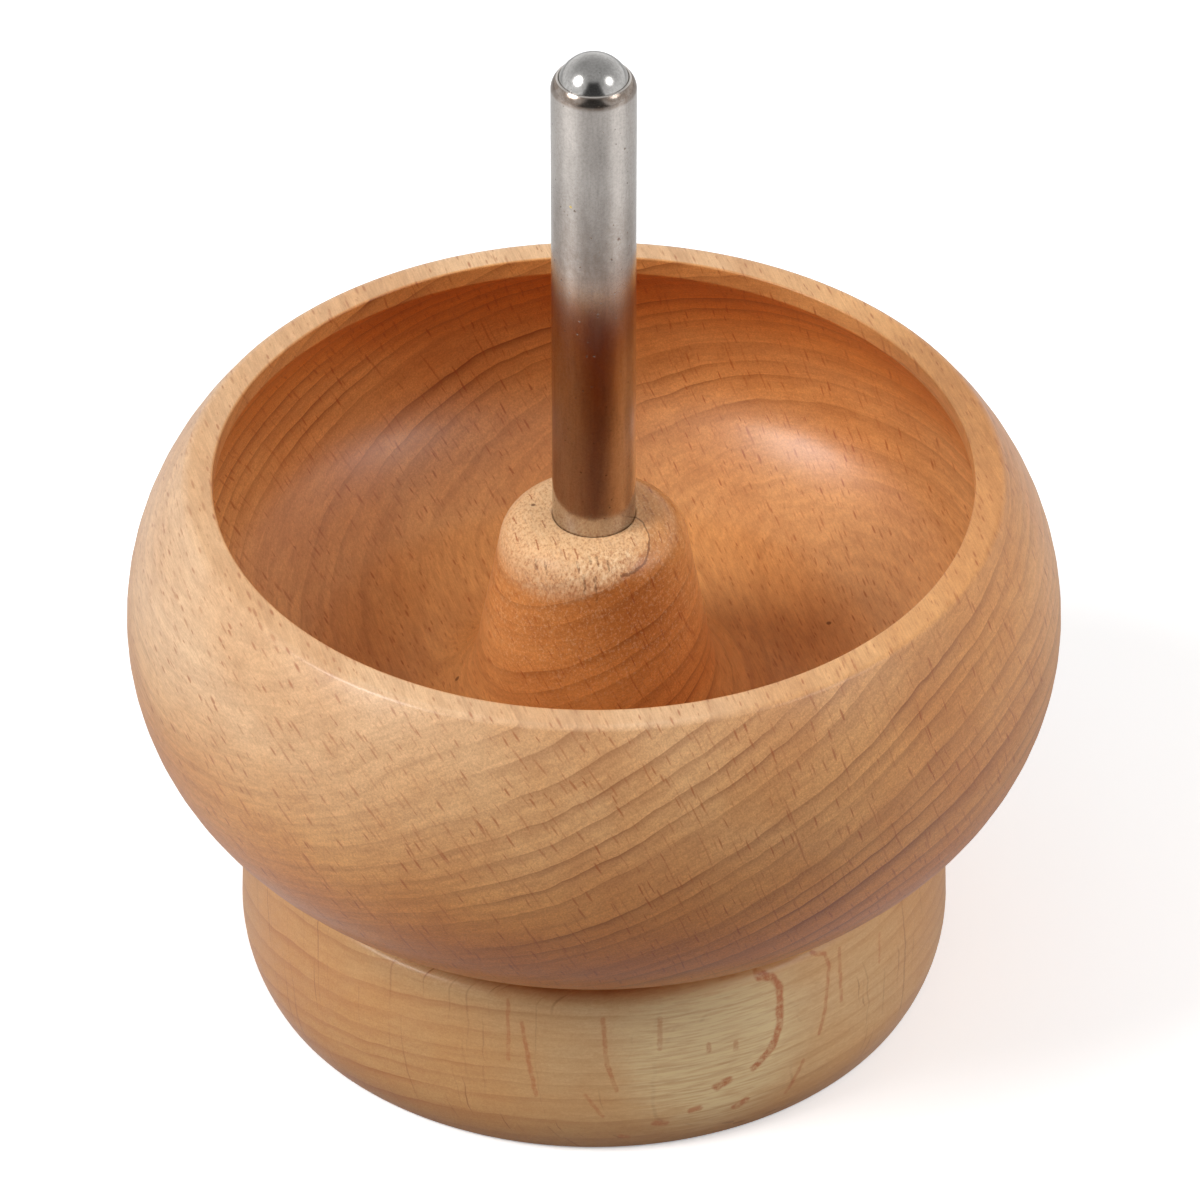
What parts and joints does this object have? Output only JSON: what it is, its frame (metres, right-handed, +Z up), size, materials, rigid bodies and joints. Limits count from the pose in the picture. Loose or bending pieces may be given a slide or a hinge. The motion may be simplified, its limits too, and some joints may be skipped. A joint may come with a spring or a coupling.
{
  "type": "bead spinner",
  "caption": "Turned wooden bowl with a centre cone, hung by a ball on an upright steel spindle, spinning freely over a round wooden base.",
  "frame": {"origin": "centre of the base's underside, on the spindle's axis", "axes": "+Z up along the spindle; +X to the right and +Y away from the viewer in the picture's view"},
  "size_m": [0.113, 0.113, 0.1295],
  "materials": {
    "base_beech": "satin turned beech",
    "bowl_beech": "satin turned beech",
    "rod_steel": "ground steel",
    "screw_steel": "zinc plated",
    "washer_steel": "zinc plated",
    "sleeve_steel": "nickel plated, satin",
    "ball_steel": "polished"
  },
  "bodies": {
    "stand": {"base": "base_beech", "axle_rod": "rod_steel", "axle_screw": "screw_steel", "axle_washer": "washer_steel"},
    "pivot": {"pivot_ball": "ball_steel"},
    "spinner": {"bowl": "bowl_beech", "spindle_sleeve": "sleeve_steel"}
  },
  "joints": [
    {"name": "lift_off", "type": "slide", "parent": "stand", "child": "pivot", "axis": [0, 0, 1], "range_m": [0, 0.1]},
    {"name": "bowl_spin", "type": "hinge", "parent": "pivot", "child": "spinner", "pos_m": [0, 0, 0.12517], "axis": [0, 0, 1], "continuous": true}
  ]
}
